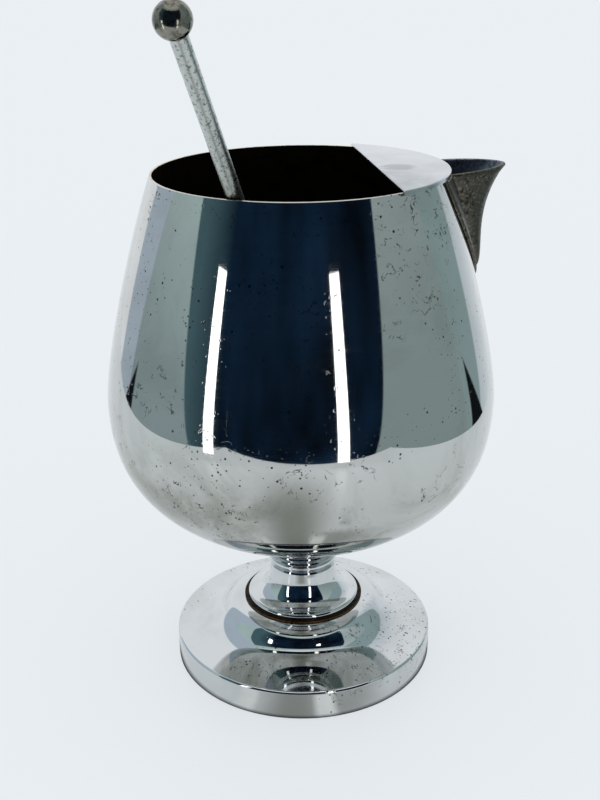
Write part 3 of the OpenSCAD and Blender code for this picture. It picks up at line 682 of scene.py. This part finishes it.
# The ball, from the end of its hole down to the flat that meets the rod, then round to its top
hole_r, hole_top = tenon_r + TENON_GAP, tenon_top + HOLE_SPARE
flat_r = BALL_FLAT_SHARE * ball_r
flat_turn = -math.degrees(math.acos(BALL_FLAT_SHARE))
ball_profile = chain(straight([0, hole_top], [hole_r, hole_top]),
                     straight([hole_r, hole_top], [hole_r, rod_top]),
                     straight([hole_r, rod_top], [flat_r, rod_top]),
                     round_corner([0, ROD_OUT], ball_r, flat_turn, 90, 60), edge=0.1)
points, faces, normals = spun(ball_profile, 128)
points, normals = along_rod(points, normals)
piece("ball_turned", points, faces, BALL, normals, body="stirrer", nodes=["rod_ball"])

# The hardware out of sight keeps its CAD shapes
for node, metal in (("bowl_boss", BRASS), ("tie_stud", STEEL), ("clamp_plate", STEEL), ("lock_washer", STEEL),
                    ("hex_nut", STEEL)):
    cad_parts[node].data.materials.clear()
    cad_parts[node].data.materials.append(metal)

# The table top is pale paper with a faint sheen that runs on far behind. It has cockled in waves of 4 mm
table_mesh = bpy.data.meshes.new("table_top")
table_mesh.from_pydata([(-0.55, -0.5, 0), (0.4, -0.5, 0), (0.4, 0.45, 0), (4.6, 8, 0), (-2.4, 8, 0),
                        (-0.55, 0.9, 0)], [], [(0, 1, 2, 3, 4, 5)])
table_top = bpy.data.objects.new("table_top", table_mesh)
bpy.context.scene.collection.objects.link(table_top)
paper, t, at = material("table_matt_paper")
grain = add(t, "TexNoise", Vector=at, Scale=1 / 0.004, Detail=2.0)
bump = add(t, "Bump", Strength=0.05, Distance=0.0002, Height=grain)
seen = add(t, "LightPath").node.outputs
# In front, where the tent stands open, the metal finds the paper in shade: the pitcher's own shadow, a wedge
# about 30 degrees wide that has faded out 400 mm away, a patch 110 mm by 60 mm at the foot, and the dark line
# round the foot
SHADOW_BEARING, LAMP_BEARINGS = -103, (-127, -88)
spot = add(t, "SeparateXYZ", at).node.outputs
bearing = add(t, "Math", spot["Y"], spot["X"], operation="ARCTAN2")
from_foot = add(t, "VectorMath", at, operation="LENGTH", out=1)
off = add(t, "Math", bearing, math.radians(-SHADOW_BEARING), operation="ADD")
off = add(t, "Math", off, operation="ABSOLUTE")
wedge = add(t, "MapRange", off, math.radians(27), math.radians(2), interpolation_type="SMOOTHSTEP")
far_off = add(t, "MapRange", from_foot, 0.4, 0.15, interpolation_type="SMOOTHSTEP")
wedge = add(t, "Math", wedge, far_off, operation="MULTIPLY")
beside = add(t, "Mapping", at, Location=(0.0, 2.6, 0.0), Scale=(1 / 0.055, 1 / 0.03, 1.0))
beside = add(t, "VectorMath", beside, operation="LENGTH", out=1)
beside = add(t, "MapRange", beside, 1.2, 0.5, 0.0, 0.75, interpolation_type="SMOOTHSTEP")
shade = add(t, "Math", wedge, beside, operation="MAXIMUM")
shade = add(t, "Math", shade, seen["Is Glossy Ray"], operation="MULTIPLY")
line = add(t, "MapRange", from_foot, 0.063, 0.0605)
line = add(t, "Math", line, seen["Is Glossy Ray"], operation="MULTIPLY")
tone = add(t, "Mix", shade, *SKIP, linear("ebf0f4"), linear("9fa29e"), data_type="RGBA", out=2)
# Before the two strip lamps, the metal finds a bright streak on the paper beside the foot
for lamp_bearing in LAMP_BEARINGS:
    streak = add(t, "Math", bearing, math.radians(-lamp_bearing), operation="ADD")
    streak = add(t, "Math", streak, operation="ABSOLUTE")
    streak = add(t, "MapRange", streak, math.radians(7), math.radians(2.5), interpolation_type="SMOOTHSTEP")
    streak = add(t, "Math", streak, add(t, "MapRange", from_foot, 0.1, 0.08), operation="MULTIPLY")
    streak = add(t, "Math", streak, seen["Is Glossy Ray"], operation="MULTIPLY")
    tone = add(t, "Mix", streak, *SKIP, tone, linear("f6f9f9"), data_type="RGBA", out=2)
tone = add(t, "Mix", line, *SKIP, tone, linear("2c2e2e"), data_type="RGBA", out=2)
sheen = add(t, "BsdfPrincipled", Base_Color=tone, Roughness=0.28, Normal=bump)
# To the camera and the metal, a share of the paper shows its plain tone, as if it were evenly lit
shows = add(t, "Math", add(t, "Math", seen["Is Camera Ray"], 0.7, operation="MULTIPLY"),
            add(t, "Math", seen["Is Glossy Ray"], 0.4, operation="MULTIPLY"), operation="MAXIMUM")
add(t, "OutputMaterial", add(t, "MixShader", shows, sheen, add(t, "Emission", tone, 1.0)))
table_mesh.materials.append(paper)

# A tent of pale cloth, in degrees: side is the angle round from the photograph's place, to the right above 0
# and to the left below it, round_by is its size, and height is the angle above the table
world = bpy.data.worlds.new("cloth_tent")
world.use_nodes = True
bpy.context.scene.world = world
w = world.node_tree
w.nodes.clear()
# Bearing of the photograph's place, where the tent has its dark opening
FRONT = -98.05
way = add(w, "VectorRotate", Vector=add(w, "TexCoord"), Angle=math.radians(-FRONT), rotation_type="Z_AXIS")
xyz = add(w, "SeparateXYZ", way).node
side = add(w, "Math", add(w, "Math", xyz.outputs[1], xyz.outputs[0], operation="ARCTAN2"), 180 / math.pi,
           operation="MULTIPLY")
height = add(w, "Math", xyz.outputs[2], operation="ARCSINE")
height = add(w, "Math", height, 180 / math.pi, operation="MULTIPLY")
round_by = add(w, "Math", side, operation="ABSOLUTE")
on_left = add(w, "Math", side, 0.0, operation="LESS_THAN")
# The side walls, a little paler on the left, each with a fold behind it
right_wall = add(w, "Mix", add(w, "MapRange", height, 0.0, 55.0), *SKIP, linear("92a2a3"), linear("bcc8ca"),
                 data_type="RGBA", out=2)
left_wall = add(w, "Mix", add(w, "MapRange", height, -4.0, 18.0), *SKIP, linear("96a6ab"), linear("b4c8c8"),
                data_type="RGBA", out=2)
right_fold = add(w, "Mix", add(w, "MapRange", round_by, 125.0, 127.0), *SKIP, linear("93a7aa"),
                 linear("ccd7df"), data_type="RGBA", out=2)
right_back = add(w, "Mix", add(w, "MapRange", round_by, 128.0, 155.0), *SKIP, right_fold, linear("f3f6fa"),
                 data_type="RGBA", out=2)
left_back = add(w, "Mix", add(w, "MapRange", round_by, 130.5, 132.0), *SKIP, linear("b5c2d0"),
                linear("f3f6fa"), data_type="RGBA", out=2)
walls = add(w, "Mix", on_left, *SKIP, right_wall, left_wall, data_type="RGBA", out=2)
backs = add(w, "Mix", on_left, *SKIP, right_back, left_back, data_type="RGBA", out=2)
seam = add(w, "Math", height, 0.44, add(w, "Math", on_left, -10.0, round_by, operation="MULTIPLY_ADD"),
           operation="MULTIPLY_ADD")
tent = add(w, "Mix", add(w, "MapRange", seam, 101.0, 101.8), *SKIP, walls, backs, data_type="RGBA", out=2)
# Under the folds, the cloth leaves a dark gap over the table
gap_top = add(w, "MapRange", add(w, "Math", height, 0.5, round_by, operation="MULTIPLY_ADD"), 105.5, 106.5)
gap_low = add(w, "MapRange", add(w, "Math", height, 1.65, round_by, operation="MULTIPLY_ADD"), 98.5, 97.5)
gap = add(w, "Math", gap_top, gap_low, operation="MULTIPLY")
tent = add(w, "Mix", gap, *SKIP, tent, linear("14181c"), data_type="RGBA", out=2)
roof = add(w, "MapRange", height, 56.0, 62.0)
tent = add(w, "Mix", roof, *SKIP, tent, linear("f4f5f5"), data_type="RGBA", out=2)
# The opening in front
left_edge = add(w, "MapRange", add(w, "Math", height, 0.33, side, operation="MULTIPLY_ADD"), -71.0, -69.8)
right_edge = add(w, "MapRange", add(w, "Math", height, -0.4, side, operation="MULTIPLY_ADD"), 48.0, 47.0)
below = add(w, "MapRange", height, 52.5, 51.0)
opening = add(w, "Math", left_edge, right_edge, operation="MULTIPLY")
opening = add(w, "Math", opening, below, operation="MULTIPLY")
dim = add(w, "MapRange", add(w, "TexNoise", Vector=way, Scale=2.2, Detail=2.0), 0.35, 0.7)
dim = add(w, "Mix", dim, *SKIP, linear("060e18"), linear("142a42"), data_type="RGBA", out=2)
deep = add(w, "Mix", add(w, "MapRange", side, -46.0, -68.0), *SKIP, dim, linear("4a666f"),
           data_type="RGBA", out=2)
tent = add(w, "Mix", opening, *SKIP, tent, deep, data_type="RGBA", out=2)
# The metal mirrors the tent, the camera finds a pale backdrop in the table's tone, and what is matt gets even
# light
path = add(w, "LightPath").node.outputs
light = add(w, "Mix", path["Is Glossy Ray"], *SKIP, linear("f8f9fa"), tent, data_type="RGBA", out=2)
light = add(w, "Mix", path["Is Camera Ray"], *SKIP, light, linear("e7ecf0"), data_type="RGBA", out=2)
add(w, "OutputWorld", add(w, "Background", light, 1.0))

# Two upright strip lamps beside the opening, each with its height and its middle in metres. They turn to the
# pitcher
STRIP_W, STRIP_WATTS_PER_M = 0.042, 0.4
for name, tall, place in (("strip_right", 0.275, (0.090, -0.401, 0.1675)),
                          ("strip_left", 0.258, (-0.350, -0.240, 0.165))):
    strip = bpy.data.lights.new(name, "AREA")
    strip.shape, strip.size, strip.size_y, strip.energy = "RECTANGLE", STRIP_W, tall, STRIP_WATTS_PER_M * tall
    lamp = bpy.data.objects.new(name, strip)
    back = np.array([place[0], place[1], 0]) / math.hypot(place[0], place[1])
    lamp.matrix_world = Matrix(((-back[1], 0, back[0], place[0]), (back[0], 0, back[1], place[1]),
                                (0, 1, 0, place[2]), (0, 0, 0, 1)))
    lamp.visible_camera = False
    bpy.context.scene.collection.objects.link(lamp)

# The camera, at the photograph's place: right, up and back directions, then where it stands in metres
camera_data = bpy.data.cameras.new("camera")
camera_data.lens = 50.93
camera_data.sensor_width = 36
camera_data.clip_start = 0.01
camera = bpy.data.objects.new("camera", camera_data)
camera.matrix_world = Matrix(((0.98956043, 0.06465770, -0.12880039, -0.0653034),
                              (-0.14369165, 0.37390569, -0.91626811, -0.4617337),
                              (-0.01108459, 0.92521020, 0.37929304, 0.3180223), (0, 0, 0, 1)))
bpy.context.scene.collection.objects.link(camera)
bpy.context.scene.camera = camera
bpy.context.scene.view_settings.view_transform = "Standard"
